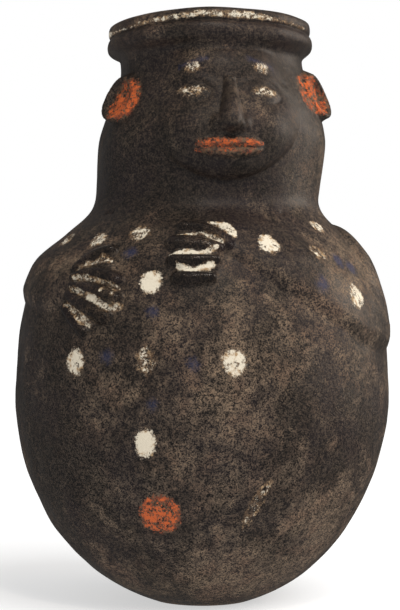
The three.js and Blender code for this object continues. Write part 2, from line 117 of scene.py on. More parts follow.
def outline_points():
    """The pot's outside, from the axis to the lip. Handles reach shares of each part's rise."""
    base = (BASE_RADIUS, 0)
    belly = (BELLY_RADIUS, BELLY_HEIGHT)
    shoulder = (SHOULDER_RADIUS, SHOULDER_HEIGHT)
    nape = (NAPE_RADIUS, NAPE_HEIGHT)
    neck = (NECK_RADIUS, NECK_HEIGHT)
    head = (HEAD_RADIUS, HEAD_HEIGHT)
    collar = (COLLAR_RADIUS, COLLAR_HEIGHT)
    roll = (ROLL_RADIUS, ROLL_HEIGHT)
    up = SHOULDER_HEIGHT - BELLY_HEIGHT
    over = NAPE_HEIGHT - SHOULDER_HEIGHT
    throat = NECK_HEIGHT - NAPE_HEIGHT
    jaw = HEAD_HEIGHT - NECK_HEIGHT
    brow = COLLAR_HEIGHT - HEAD_HEIGHT
    flare = ROLL_HEIGHT - COLLAR_HEIGHT
    groove_z = lerp(ROLL_HEIGHT, BAND_HEIGHT, 0.6)
    groove = (min(ROLL_RADIUS, BAND_RADIUS) - GROOVE_DEPTH, groove_z)
    parts = [
        np.linspace((0, 0), base, 12),
        bezier(
            base,
            toward(*base, BASE_SLOPE, BELLY_HEIGHT * 0.59),
            (BELLY_RADIUS, BELLY_HEIGHT * 0.76),
            belly,
        ),
        bezier(
            belly,
            (BELLY_RADIUS, BELLY_HEIGHT + up * 0.45),
            toward(*shoulder, SHOULDER_SLOPE, -up * 0.28),
            shoulder,
        ),
        bezier(
            shoulder,
            toward(*shoulder, SHOULDER_SLOPE + 4, over * 0.44),
            toward(*nape, NAPE_SLOPE, -over * 0.44),
            nape,
        ),
        bezier(
            nape,
            toward(*nape, NAPE_SLOPE, throat * 0.46),
            (NECK_RADIUS, NECK_HEIGHT - throat * 0.46),
            neck,
        ),
        bezier(
            neck,
            (NECK_RADIUS, NECK_HEIGHT + jaw / 3),
            (HEAD_RADIUS, HEAD_HEIGHT - jaw / 3),
            head,
        ),
        bezier(
            head,
            (HEAD_RADIUS, HEAD_HEIGHT + brow * 0.38),
            (COLLAR_RADIUS, COLLAR_HEIGHT - brow * 0.35),
            collar,
        ),
        bezier(
            collar,
            (COLLAR_RADIUS, COLLAR_HEIGHT + flare * 0.5),
            (ROLL_RADIUS, ROLL_HEIGHT - flare * 0.55),
            roll,
        ),
        bezier(roll, (ROLL_RADIUS, lerp(ROLL_HEIGHT, groove_z, 0.6)), groove),
        bezier(groove, (BAND_RADIUS, lerp(groove_z, BAND_HEIGHT, 0.2)), (BAND_RADIUS, BAND_HEIGHT)),
        bezier((BAND_RADIUS, BAND_HEIGHT), (BAND_RADIUS, HEIGHT), (CREST_RADIUS, HEIGHT)),
    ]
    return np.vstack([p[1:] if i else p for i, p in enumerate(parts)])


def measured(points):
    """The distance along a line of (r, z) points, and the outward normal at each."""
    step = np.diff(points, axis=0)
    along = np.concatenate([[0], np.cumsum(np.hypot(*step.T))])
    tangent = np.gradient(points, along, axis=0)
    tangent /= np.linalg.norm(tangent, axis=1)[:, None]
    return along, np.stack([tangent[:, 1], -tangent[:, 0]], axis=1)


OUTLINE = outline_points()
ALONG, OUTWARD = measured(OUTLINE)
LENGTH = float(ALONG[-1])


def outline_at(along):
    """Radius, height and the two parts of the outward normal at distances along the outline."""
    columns = [*OUTLINE.T, *OUTWARD.T]
    r, z, nr, nz = (np.interp(along, ALONG, c) for c in columns)
    length = np.hypot(nr, nz)
    return r, z, nr / length, nz / length


def along_at(height):
    rising = OUTLINE[:, 1] > 0
    return np.interp(height, OUTLINE[rising, 1], ALONG[rising])


SHOULDER_ALONG = float(along_at(SHOULDER_HEIGHT))


def shift_at(z):
    """How far the pot's middle lies to the right of the axis at a height."""
    lean = HEAD_SHIFT * smooth(z, LEAN_START, LEAN_END)
    foot = BASE_SHIFT * (smooth(z, 0, BASE_RADIUS) - smooth(z, BASE_RADIUS, BELLY_HEIGHT))
    return lean + foot - (HEAD_SHIFT - RIM_SHIFT) * smooth(z, LEAN_END, ROLL_HEIGHT)


def placed(turn, r, z):
    sin, cos = np.sin(np.radians(turn)), -np.cos(np.radians(turn))
    uneven = (RIM_TILT * sin - RIM_SAG * sin * sin) * smooth(z, COLLAR_HEIGHT, ROLL_HEIGHT)
    return np.stack([r * sin + shift_at(z), r * cos, z + uneven], axis=-1)


def outward(turn, nr, nz):
    sin, cos = np.sin(np.radians(turn)), -np.cos(np.radians(turn))
    return np.stack([nr * sin, nr * cos, nz], axis=-1)


def plain_point(turn, along):
    r, z, nr, nz = outline_at(along)
    return placed(turn, r, z), outward(turn, nr, nz)


# Marks and relief laid on the pot


def nearest(points, line, halves):
    """How far points are from a line, in its half-widths, in millimetres, and on which side of it:
    above 0 is the right of its way, seen from outside. Each point's own outward way is given."""
    share = np.full(len(points[0]), np.inf)
    apart, side, at = share.copy(), np.zeros_like(share), np.zeros_like(share)
    spots, normals = points
    for i in range(len(line) - 1):
        span = line[i + 1] - line[i]
        t = np.clip((spots - line[i]) @ span / (span @ span), 0, 1)
        off = spots - line[i] - t[:, None] * span
        gap = np.linalg.norm(off, axis=1)
        here = gap / lerp(halves[i], halves[i + 1], t)
        closer = here < share
        right = np.einsum("ij,ij->i", np.cross(np.broadcast_to(span, normals.shape), normals), off)
        share = np.where(closer, here, share)
        apart = np.where(closer, gap, apart)
        side = np.where(closer, np.sign(right), side)
        at = np.where(closer, (i + t) / (len(line) - 1), at)
    return share, apart, side, at


def curve(stations, count):
    """A smooth line through stations of any numbers, by passing each through a spline."""
    s = np.array(stations, float)
    padded = np.vstack([2 * s[0] - s[1], s, 2 * s[-1] - s[-2]])
    out = []
    for t in np.linspace(0, len(s) - 1, count):
        i = min(int(t), len(s) - 2)
        f = t - i
        a, b, c, d = padded[i : i + 4]
        out.append(
            b + 0.5 * f * (c - a + f * (2 * a - 5 * b + 4 * c - d + f * (3 * (b - c) + d - a)))
        )
    return np.array(out)


# Places on the arms and hands are turns, and millimetres above the pot's shoulder along the
# outline. Each forearm fades into the pot on its soft side, which is this much wider
ARM_RELIEF = 5.0
UPPER_ARM_HALF, ELBOW_HALF, FOREARM_HALF, WRIST_HALF = 25, 25, 22, 20
SOFT_WIDTH = 1.9
ARMS = [
    {
        "shoulder": (-95, -1),
        "elbow": (-106, -18),
        "forearm": (-82, -13),
        "wrist": (-52, -24),
        "soft": -1,
    },
    {
        "shoulder": (83, 14),
        "elbow": (73, -50),
        "forearm": (50, -36),
        "wrist": (12, 19),
        "soft": 1,
    },
]
# The heights between which the mesh looks for arms and hands
ARMS_LOWEST, ARMS_HIGHEST = 185, 312

# A palm is a half-width and a half-height. A digit starts across and above the hand's middle, in
# millimetres, heads off at an angle from +X, and bends by so many degrees over its length
FINGER_HALF, FINGER_RELIEF, PALM_RELIEF = 5.6, 6.0, 2.6
DIGIT_STEPS, DIGIT_ROOT = 5, 0.72
HANDS = [
    {
        "turn": -36.5,
        "above": -25,
        "palm": (22, 31),
        "digits": [
            {"start": (-18, 15), "angle": 50, "bend": -40, "length": 32, "half": 0.95},
            {"start": (-17, 8), "angle": 24, "bend": -54, "length": 42, "half": 1.0},
            {"start": (-16, 2), "angle": -2, "bend": -22, "length": 43, "half": 1.0},
            {"start": (-18, -5.5), "angle": -28, "bend": 8, "length": 40, "half": 1.1},
            {"start": (-20, -15), "angle": -42, "bend": 4, "length": 27, "half": 1.0},
        ],
    },
    {
        "turn": -2,
        "above": 11,
        "palm": (20, 29),
        "digits": [
            {"start": (23, -3), "angle": 116, "bend": 66, "length": 42, "half": 1.0},
            {"start": (15, -4), "angle": 158, "bend": 24, "length": 32, "half": 1.3},
            {"start": (14, -14), "angle": 184, "bend": -6, "length": 31, "half": 0.9},
            {"start": (11, -28), "angle": 181, "bend": 0, "length": 23, "half": 1.05},
        ],
    },
]


def band_share(points, stations, count, soft=0):
    """How far points are from a band's middle in its half-widths, how far along it they are,
    and whether they are on its soft side."""
    s = curve(stations, count)
    line, _ = plain_point(s[:, 0], s[:, 1])
    share, _, side, at = nearest(points, line, s[:, 2])
    wide = np.where(side * soft > 0, SOFT_WIDTH, 1.0)
    return share / wide, at, side * soft > 0


def bolster(share):
    return cap(np.minimum(share, 1) ** 1.5, 1)


def arm_height(points, arm):
    """The height of an arm, and how pale its forearm's crisp edge is: worn, and painted lighter as
    a highlight along the ridge.
    """
    place = {
        name: (arm[name][0], SHOULDER_ALONG + arm[name][1])
        for name in ("shoulder", "elbow", "forearm", "wrist")
    }
    upper = [(*place["elbow"], ELBOW_HALF), (*place["shoulder"], UPPER_ARM_HALF)]
    fore = [
        (*place["elbow"], ELBOW_HALF),
        (*place["forearm"], FOREARM_HALF),
        (*place["wrist"], WRIST_HALF),
    ]
    share, _, _ = band_share(points, upper, count=8)
    height = ARM_RELIEF * bolster(share)
    share, at, gentle = band_share(points, fore, count=14, soft=arm["soft"])
    crisp = bolster(share) + 0.1 * hump((share - 0.6) / 0.2)
    height_fore = ARM_RELIEF * np.where(gentle, 1 - smooth(share, 0.1, 1), crisp)
    # The crisp edge's crest is pale: rubbed clay, and a painted highlight where the ridge catches
    # the light
    rub_and_highlight = np.where(gentle, 0, hump((share - 0.66) / 0.3)) * smooth(at, 0.1, 0.3)
    return np.maximum(height, height_fore), rub_and_highlight


def digit_stations(hand, digit):
    """A digit's line, from its narrow root: turns, distances along the outline, half-widths."""
    stations = []
    across, up = digit["start"]
    for i in range(DIGIT_STEPS + 1):
        along = SHOULDER_ALONG + hand["above"] + up
        r = outline_at(along)[0]
        narrow = lerp(DIGIT_ROOT, 1, smooth(i / DIGIT_STEPS, 0, 0.5))
        half = FINGER_HALF * digit["half"] * narrow
        stations.append((hand["turn"] + math.degrees(across / r), along, half))
        heading = math.radians(digit["angle"] + digit["bend"] * (i + 0.5) / DIGIT_STEPS)
        across += digit["length"] / DIGIT_STEPS * math.cos(heading)
        up += digit["length"] / DIGIT_STEPS * math.sin(heading)
    return stations


def hand_height(points, hand):
    """The height of a hand, and how dark it is: the digits are sootier than the clay round them."""
    along = SHOULDER_ALONG + hand["above"]
    up = hand["palm"][1] - hand["palm"][0]
    pad = [(hand["turn"], along + k * up, hand["palm"][0]) for k in (-1, 1)]
    share, _, _ = band_share(points, pad, count=4)
    height = PALM_RELIEF * (1 - smooth(share, 0.72, 1.0))
    soot = np.zeros_like(height)
    for digit in hand["digits"]:
        share, _, _ = band_share(points, digit_stations(hand, digit), count=10)
        height = np.maximum(height, FINGER_RELIEF * cap(np.minimum(share, 1), 0.62))
        soot = np.maximum(soot, 1 - smooth(share, 0.7, 1.25))
    return height, soot


# Face, laid out in thirds from the hairline to the chin

FACE_TURN = 8
HAIRLINE_HEIGHT, CHIN_HEIGHT = COLLAR_HEIGHT + 11, NECK_HEIGHT + 8
FACE_HALF, CHIN_HALF = 70, 34
FOREHEAD_RADIUS = 84
BROW_RELIEF, JAW_RELIEF, NOSE_RELIEF, WING_RELIEF, LIP_RELIEF = 6, 11, 13, 5.5, 5
SOCKET_DEPTH, EYE_RELIEF, BROW_RIDGE, CHEEK_RELIEF, CHIN_RELIEF = 3.2, 4.2, 2.8, 2.6, 4
NOSTRIL_DEPTH, FOLD_DEPTH, LID_RELIEF, CREASE_DEPTH = 3.2, 0.5, 1.1, 0.6
# Features fade in where the face stands out up to this far
FEATURE_FADE = 2.5
THIRD = (HAIRLINE_HEIGHT - CHIN_HEIGHT) / 3
BROW_HEIGHT = HAIRLINE_HEIGHT - THIRD
NOSE_HEIGHT = BROW_HEIGHT - THIRD
EYE_HEIGHT = BROW_HEIGHT - THIRD / 4
MOUTH_HEIGHT = NOSE_HEIGHT - THIRD / 3
EYE_WIDTH = 2 * FACE_HALF / 4.6
LID_HALF = 0.5
MOUTH_HALF = 0.8


def face_mask(across, up, r):
    down = np.clip((BROW_HEIGHT - up) / (BROW_HEIGHT - CHIN_HEIGHT), 0, 1)
    half = lerp(FACE_HALF, CHIN_HALF, down**2.2)
    middle = (HAIRLINE_HEIGHT + CHIN_HEIGHT) / 2
    share = np.abs(across / half) ** 2.4 + np.abs((up - middle) / (HAIRLINE_HEIGHT - middle)) ** 4
    forehead = np.maximum(BROW_RELIEF, FOREHEAD_RADIUS - r)
    inner = np.maximum(0, 1 - share)
    return lerp(forehead, JAW_RELIEF, down) * inner ** lerp(1.5, 0.5, down)


# The features measure across in eye widths from the midline, and up in thirds from a line's height


def nose(across, up):
    bridge = BROW_HEIGHT + THIRD * 0.055
    down = (bridge - up) / (bridge - NOSE_HEIGHT)
    inside = np.clip(down, 0, 1.15)
    above = (up - NOSE_HEIGHT) / THIRD
    half = lerp(0.165, 0.345, inside**1.6)
    ridge = lerp(0.22, 1, smooth(inside, 0, 0.92)) * (1 - smooth(inside, 0.97, 1.14))
    ridge = NOSE_RELIEF * ridge * cap(np.minimum(np.abs(across / half), 1), 0.75)
    wings = WING_RELIEF * hump((across - 0.3) / 0.14, (above - 0.1) / 0.12)
    nostrils = NOSTRIL_DEPTH * hump((across - 0.18) / 0.065, (above + 0.016) / 0.05)
    fold = FOLD_DEPTH * hump((across - 0.48) / 0.053, (above - 0.08) / 0.14)
    return np.where((down < 0) | (down > 1.15), 0, np.maximum(ridge, wings)) - nostrils - fold


def lips_taper(across):
    return cap(np.minimum(across / MOUTH_HALF, 1), 0.5)


def mouth(across, up):
    above = (up - MOUTH_HEIGHT) / THIRD
    taper = lips_taper(across)
    bow = 0.03 * hump(across / 0.105) - 0.016 * hump((across - 0.2) / 0.11)
    upper = cap(np.clip((above - 0.085 * taper) / (0.12 * taper + 1e-3 - bow), -1, 1), 0.6)
    lower = cap(np.clip((above + 0.1 * taper) / (0.13 * taper + 1e-3), -1, 1), 0.6)
    parting = 0.6 * hump(above / 0.025) * (taper > 0)
    middle = (MOUTH_HEIGHT + NOSE_HEIGHT) / 2
    groove = hump(across / 0.07, ((up - middle) / THIRD - 0.04) / 0.11)
    return LIP_RELIEF * taper * np.maximum(upper, lower) * (1 - parting) - groove


def lid_taper(across):
    return cap(np.minimum(np.abs((across - 1) / LID_HALF), 1), 0.7)


def eye(across, up):
    side = across - 1
    above = (up - EYE_HEIGHT) / THIRD
    socket = SOCKET_DEPTH * hump(side / 0.49, (above - 0.03) / 0.22)
    lid = lid_taper(across)
    share = above / (0.175 * lid + 1e-3)
    ball = EYE_RELIEF * lid * cap(np.clip(share, -1, 1), 0.6)
    lids = LID_RELIEF * lid * hump((np.abs(share) - 1) / 0.2)
    crease = CREASE_DEPTH * lid * hump((above - 0.26 * lid) / 0.036)
    over_brow = (up - BROW_HEIGHT) / THIRD
    brow = BROW_RIDGE * hump(side / 0.56, (over_brow - 0.03 + 0.24 * side * side) / 0.115)
    return ball + lids + brow - socket - crease


def face_height(turn, up, r):
    across = np.radians(turn - FACE_TURN) * HEAD_RADIUS
    mask = face_mask(across, up, r)
    wide = np.abs(across) / EYE_WIDTH
    chin = CHIN_RELIEF * hump(wide / 0.56, ((up - CHIN_HEIGHT) / THIRD - 0.36) / 0.25)
    cheeks = CHEEK_RELIEF * hump((wide - 1.08) / 0.49, ((up - NOSE_HEIGHT) / THIRD - 0.11) / 0.39)
    features = chin + cheeks + nose(wide, up) + mouth(wide, up) + eye(wide, up)
    return mask + smooth(mask, 0, FEATURE_FADE) * features


# Ears: cupped lugs, with a rim that stands out most at the back

EARS = [
    {"turn": -58, "rise": 36, "lift": 12},
    {"turn": 77, "rise": 41, "lift": 14},
]
# An ear's half-sizes, and the turn that it leans out toward
EAR_HALF_WIDTH, EAR_HALF_TALL, EAR_HEADING = 17, 20, 64


def ear_place(turn, along, ear):
    """How far back and up in an ear a point is, in shares of its half-sizes, and its side."""
    side = math.copysign(1, ear["turn"])
    middle = float(along_at(HEAD_HEIGHT + ear["rise"]))
    r = float(outline_at(middle)[0])
    back = np.radians(turn - ear["turn"]) * side * r / EAR_HALF_WIDTH
    return back, (along - middle) / EAR_HALF_TALL, side


def ear_offset(turn, along):
    """How the ears stand out, as moves in X, Y and Z. Their numbers are shares, as above."""
    offset = np.zeros((len(turn), 3))
    for ear in EARS:
        back, up, side = ear_place(turn, along, ear)
        out = np.hypot(back, up)
        lean = 0.58 + 0.42 * np.clip(back, -1.2, 1.2)
        foot = 1 - smooth(out, 0.93, 1.14)
        rim = hump((out - 0.84) / 0.2)
        pit = 0.3 * hump((back + 0.15) / 0.16, up / 0.18)
        lift = ear["lift"] * lean * foot * (0.36 + 0.64 * rim - pit)
        heading = math.radians(side * EAR_HEADING)
        offset[:, 0] += lift * math.sin(heading)
        offset[:, 1] -= lift * math.cos(heading)
    return offset


# Paint: fields that are 0.5 at a mark's edge and fall off over a few millimetres. Wear runs from
# 0, where all the paint is left, to 1, where little is

DOT_EDGE, STROKE_EDGE = 6.0, 3.0
# Turn, height, half-width, half-height and wear
WHITE_DOTS = [
    (-65.6, 283.5, 7.0, 6.5, 0.6),
    (-43.0, 282.0, 7.2, 6.2, 0.55),
    (-24.8, 286.5, 8.0, 7.2, 0.6),
    (-15.7, 250.0, 7.5, 7.9, 0.05),
    (-39.0, 191.9, 8.0, 9.2, 0.3),
    (-16.1, 193.6, 7.1, 9.2, 0.75),
    (8.8, 192.3, 9.0, 9.0, 0.35),
    (-16.4, 134.3, 7.5, 10.4, 0.1),
    (22.0, 275.1, 7.4, 8.4, 0.3),
    (41.9, 271.3, 7.6, 6.4, 0.7),
    (52.4, 238.7, 7.6, 8.6, 0.4),
    (53.5, 292.8, 7.0, 5.8, 0.5),
]
# Turn, height, half-width and half-height
ORANGE_DOT = (-13.2, 81.8, 15.4, 15.6)
# Turn, height, radius, and the share of the blue that has faded
BLUE_DOTS = [
    (-24.9, 271.4, 7.0, 0.24),
    (-14.3, 228.5, 7.0, 0.28),
    (-28.1, 196.0, 7.5, 0.28),
    (-2.5, 190.9, 7.5, 0.28),
    (-13.9, 162.3, 7.0, 0.32),
    (51.1, 265.7, 6.5, 0.0),
    (57.3, 261.4, 6.5, 0.04),
    (38.2, 246.7, 8.0, 0.24),
]
# Strokes of white in the grooves between the digits, and two white dabs that are partly painted
# glints: turns, millimetres above the pot's shoulder along the outline, and half-widths, then how
# worn the stroke is
WHITE_STROKES = [
    ([(-43.2, -13.8, 0.4), (-42.0, -10.2, 0.9), (-39.5, -6.8, 1.5), (-37.0, -6.0, 1.8)], 0.6),
    ([(-37.0, -6.0, 1.8), (-35.0, -3.8, 3.0), (-33.0, -2.6, 3.4), (-30.8, -3.8, 2.4)], 0.8),
    ([(-42.5, -18.0, 1.6), (-39.0, -18.0, 2.0), (-36.0, -18.4, 2.1), (-33.5, -19.4, 1.7)], 0.6),
    ([(-33.5, -19.4, 1.7), (-31.2, -20.8, 1.4), (-28.5, -22.8, 1.6), (-26.0, -25.2, 2.0)], 0.7),
    ([(-42.8, -26.2, 1.6), (-39.8, -27.8, 2.3), (-37.2, -30.4, 2.1), (-35.0, -31.8, 2.2)], 0.5),
    ([(-35.0, -31.8, 2.2), (-32.5, -33.8, 3.0), (-29.6, -38.2, 2.2), (-28.2, -39.8, 2.4)], 0.5),
    ([(-29.0, -39.6, 2.2), (-24.6, -38.6, 2.8)], 0.7),
    ([(-43.7, -37.4, 1.6), (-41.5, -39.8, 1.8), (-39.6, -42.4, 2.6), (-37.0, -47.4, 3.8)], 0.6),
    ([(-37.0, -47.4, 3.8), (-34.4, -51.6, 2.4)], 0.65),
    # Two small white dabs between the digits: white paint, and painted glints on the digits
    ([(-30.5, -27.0, 1.4), (-30.2, -27.4, 1.4)], 0.4),
    ([(-26.6, -30.0, 1.3), (-26.3, -30.4, 1.3)], 0.4),
    ([(1.3, 32.6, 0.8), (4.0, 31.0, 2.2), (6.2, 28.6, 3.4), (8.4, 24.0, 4.2)], 0.4),
    ([(8.4, 24.0, 4.2), (9.6, 19.5, 3.4), (10.6, 15.5, 1.8)], 0.5),
    ([(-9.2, 17.6, 0.7), (-5.0, 19.4, 0.9), (-1.0, 20.5, 1.0), (1.5, 17.6, 1.8)], 0.35),
    ([(1.5, 17.6, 1.8), (2.8, 16.2, 1.8), (4.0, 13.8, 2.2), (6.2, 11.2, 1.6)], 0.5),
    ([(-10.6, -0.4, 1.4), (-8.5, 1.4, 2.0), (-5.5, 2.4, 2.6), (-3.0, 2.2, 2.2)], 0.2),
    ([(-3.0, 2.2, 2.2), (-1.0, 1.6, 1.6), (1.5, 3.2, 2.2), (4.2, 5.4, 1.7)], 0.35),
    ([(-7.6, -9.0, 1.6), (-5.0, -11.0, 2.6), (-2.5, -12.4, 1.4), (-0.8, -10.8, 2.2)], 0.2),
    ([(-0.8, -10.8, 2.2), (1.2, -9.6, 3.0), (3.2, -7.4, 2.0)], 0.3),
]
# What is left of the white on the rim, below its crest: turns, heights and half-widths, and wear
RIM_STROKES = [
    ([(-84.0, 450.5, 1.5), (-76.0, 450.5, 1.8), (-70.0, 450.0, 0.9)], 0.45),
    ([(-75.0, 449.6, 0.7), (-55.0, 449.6, 0.9), (-35.0, 450.2, 1.4), (-15.0, 451.2, 2.0)], 0.65),
    ([(-15.0, 451.2, 2.0), (5.0, 451.8, 2.6), (22.0, 452.0, 2.5), (35.0, 451.0, 1.7)], 0.6),
    ([(35.0, 451.0, 1.7), (50.0, 449.8, 0.8), (64.0, 449.5, 1.2), (72.0, 449.5, 0.5)], 0.75),
]
# The scatter of white flecks low on the belly, a scuff that is also painted as glints, given in the
# same way
SCUFF_AND_GLINTS = [
    ([(14.6, 70.0, 1.8), (16.0, 82.0, 4.4), (18.2, 95.0, 4.8), (20.8, 106.0, 2.0)], 0.87),
]
# Where strokes are looked for: lowest and highest, the middle turn, and how far it reaches
HANDS_ZONE = (190, 312, -15, 50)
SCUFF_AND_GLINT_ZONE = (50, 122, 18, 20)
RIM_ZONE = (COLLAR_HEIGHT + 10, math.inf, 0, 100)
# Points along a stroke, and millimetres that its half-width is drawn short of
STROKE_STEPS, STROKE_TRIM = 12, 0.2
# White on each eye and brow: how far above its line it is, its half-height, how much less it
# measures across than up, and its wear
EYE_WHITE_RISE, EYE_WHITE_HALF, EYE_WHITE_ACROSS, EYE_WHITE_WEAR = 0.5, 3.0, 0.22, 0.55
BROW_WHITE_RISE, BROW_WHITE_HALF, BROW_WHITE_ACROSS, BROW_WHITE_WEAR = 11, 4.0, 0.7, 0.6
# Orange on the lips: above or below the mouth's line, half-height and wear
UPPER_LIP_RISE, UPPER_LIP_HALF, UPPER_LIP_WEAR = 2.4, 2.4, 0.48
LOWER_LIP_DROP, LOWER_LIP_HALF, LOWER_LIP_WEAR = 3, 2, 0.8
# Wear of the orange in the ears, which reaches so many of its half-sizes, and of either paint
# where no mark has its own
EAR_WEAR, EAR_REACH = 0.6, 2
WHITE_WEAR, ORANGE_WEAR = 0.4, 0.55
# The blue arc over the brows: below the hairline, its half-height, how far it sags where, and
# how far from the midline it begins, is whole and ends
ARC_DROP, ARC_HALF, ARC_SAG, ARC_SAG_AT = 17, 2.0, 9, 46
ARC_START, ARC_WHOLE, ARC_END = 12, 18, 44
# Small pits at the neck: turns and heights
PITS = [(-53.2, 303.8), (-49.6, 304.3), (37.1, 302.7)]
PIT_RADIUS, PIT_DEPTH = 1.8, 1.6
# The orange in each ear: its middle and its half-sizes, in shares of the ear's half-sizes
EAR_PAINT = [((-0.32, -0.08), (0.86, 0.86)), ((-0.5, 0.0), (1.2, 0.84))]
# Where the clay is rubbed and ochre (above 0) and where it is darker (below 0): turn, height,
# radius, amount. Darker patches are sooty clay; those on the left side and under the chin are
# painted shade as well
WEAR_AND_SHADE_PATCHES = [
    (5, 170, 34, 0.85),
    (14, 228, 34, 0.55),
    (56, 258, 32, 1.0),
    (87, 134, 40, 0.5),
    (80, 238, 36, 0.9),
    (88, 190, 34, 0.5),
    (72, 345, 32, 0.6),
    (8, 34, 42, 1.05),
    (48, 52, 46, 0.95),
    (-36, 28, 36, 0.45),
    (29, 215, 18, 0.5),
    (43.5, 200, 18, 0.5),
    (-46.5, 359, 13, 0.6),
    (-54.5, 266, 14, 0.6),
    (-7.5, 418, 12, 0.5),
    (20.5, 308, 14, 0.6),
    (36, 140, 34, -0.4),
    (10, 366, 24, 0.3),
    # Darker on the left side, away from the key light: partly sooty clay, partly painted shade
    (-60, 120, 70, -0.35),
    (-75, 200, 60, -0.4),
    (-55, 335, 36, -0.45),
    # Painted shadow under the chin, on the front of the neck, with sootier clay
    (8, 308, 44, -1.0),
    (64, 318, 36, 0.55),
    # Darker on the left of the neck: partly sooty clay, partly painted shade
    (-44, 306, 30, -0.4),
]
# Rings that are rubbed: how much, and over what height. The head is sootier than the belly
FOOT_WEAR, FOOT_WORN = 0.8, 5
BAND_WEAR, BAND_WORN = 0.5, 4
ROLL_WEAR, ROLL_WORN = 0.25, 5
HEAD_SOOT = 0.4
# How pale an arm's edge is, from wear and a painted highlight, and how sooty the hands are
ARM_WEAR_AND_HIGHLIGHT, HAND_SOOT = 0.55, 0.35


def mark(apart, radius, edge=DOT_EDGE):
    return np.clip(0.5 + (radius - apart) / (2 * edge), 0, 1)


def dot_field(turn, along, dot_turn, dot_height, half_wide, half_tall):
    middle = along_at(dot_height)
    r = float(outline_at(middle)[0])
    across = np.radians(turn - dot_turn) * r / half_wide
    up = (along - middle) / half_tall
    radius = (half_wide + half_tall) / 2
    return mark(np.hypot(across, up) * radius, radius)


def line_field(points, stations):
    s = curve(stations, STROKE_STEPS)
    line, _ = plain_point(s[:, 0], s[:, 1])
    share, apart, _, _ = nearest(points, line, s[:, 2])
    return mark(apart, apart / np.maximum(share, 1e-6) - STROKE_TRIM, STROKE_EDGE)


def paint_fields(points, turn, along, z):
    n = len(turn)
    white, worn = np.zeros(n), np.full(n, WHITE_WEAR)

    def brush(field, wear, zone=slice(None)):
        closer = field > white[zone]
        worn[zone] = np.where(closer, wear, worn[zone])
        white[zone] = np.maximum(white[zone], field)

    for *dot, wear in WHITE_DOTS:
        brush(dot_field(turn, along, *dot), wear)
    for (lowest, highest, middle, reach), strokes, place in (
        (HANDS_ZONE, WHITE_STROKES, lambda up: SHOULDER_ALONG + up),
        (SCUFF_AND_GLINT_ZONE, SCUFF_AND_GLINTS, along_at),
        (RIM_ZONE, RIM_STROKES, along_at),
    ):
        zone = (z > lowest) & (z < highest) & (np.abs(turn - middle) < reach)
        near = tuple(p[zone] for p in points)
        for stations, wear in strokes:
            brush(line_field(near, [(t, place(h), half) for t, h, half in stations]), wear, zone)

    across = np.radians(turn - FACE_TURN) * HEAD_RADIUS
    side = np.abs(across) - EYE_WIDTH
    lid = cap(np.minimum(np.abs(side / (EYE_WIDTH * LID_HALF)), 1), 0.6)
    up = z - EYE_HEIGHT - EYE_WHITE_RISE
    eyes = mark(np.hypot(side * EYE_WHITE_ACROSS, up), EYE_WHITE_HALF * lid)
    brush(np.where(lid > 0, eyes, 0), EYE_WHITE_WEAR)
    up = z - BROW_HEIGHT - BROW_WHITE_RISE
    brush(mark(np.hypot(side * BROW_WHITE_ACROSS, up), BROW_WHITE_HALF), BROW_WHITE_WEAR)

    taper = lips_taper(np.abs(across) / EYE_WIDTH)
    upper_lip = mark(np.abs(z - MOUTH_HEIGHT - UPPER_LIP_RISE), UPPER_LIP_HALF * taper)
    lower_lip = mark(np.abs(z - MOUTH_HEIGHT + LOWER_LIP_DROP), LOWER_LIP_HALF * taper)
    orange = np.where(taper > 0, np.maximum(upper_lip, lower_lip), 0)
    lip_wear = np.where(lower_lip > upper_lip, LOWER_LIP_WEAR, UPPER_LIP_WEAR)
    chipped = np.where(orange > 0, lip_wear, ORANGE_WEAR)
    orange = np.maximum(orange, dot_field(turn, along, *ORANGE_DOT))
    for ear, (middle, size) in zip(EARS, EAR_PAINT):
        back, up, _ = ear_place(turn, along, ear)
        out = np.hypot((back - middle[0]) / size[0], (up - middle[1]) / size[1])
        radius = EAR_HALF_TALL * size[1]
        orange = np.maximum(orange, mark(out * radius, radius))
        chipped[out < EAR_REACH] = EAR_WEAR

    blue = np.zeros(n)
    for t, h, radius, faded in BLUE_DOTS:
        blue = np.maximum(blue, dot_field(turn, along, t, h, radius, radius) * (1 - faded))
    arc = np.abs(z - HAIRLINE_HEIGHT + ARC_DROP + (across / ARC_SAG_AT) ** 2 * ARC_SAG)
    out = np.abs(across)
    arcs = mark(arc, ARC_HALF) * smooth(out, ARC_START, ARC_WHOLE) * (out < ARC_END)
    blue = np.maximum(blue, arcs)
    return {
        "paint_white": white,
        "white_worn": worn,
        "paint_orange": orange,
        "orange_worn": chipped,
        "paint_blue": blue,
    }


def wear_and_shade_field(turn, along, r, z):
    """How rubbed the clay is, from -1 where it is sooty and where shade is painted on the left side
    and under the chin, to 1 where it is ochre.
    """
    wear = np.zeros(len(turn))
    for t, h, radius, amount in WEAR_AND_SHADE_PATCHES:
        apart = (turn - t + 180) % 360 - 180
        wear += amount * hump(np.radians(apart) * r / radius, (along - along_at(h)) / radius)
    wear += FOOT_WEAR * (1 - smooth(z, 0, FOOT_WORN))
    wear -= HEAD_SOOT * smooth(z, NAPE_HEIGHT, NECK_HEIGHT)
    wear += BAND_WEAR * hump((z - BAND_HEIGHT) / BAND_WORN)
    wear += ROLL_WEAR * hump((z - ROLL_HEIGHT) / ROLL_WORN)
    return wear


# The mesh

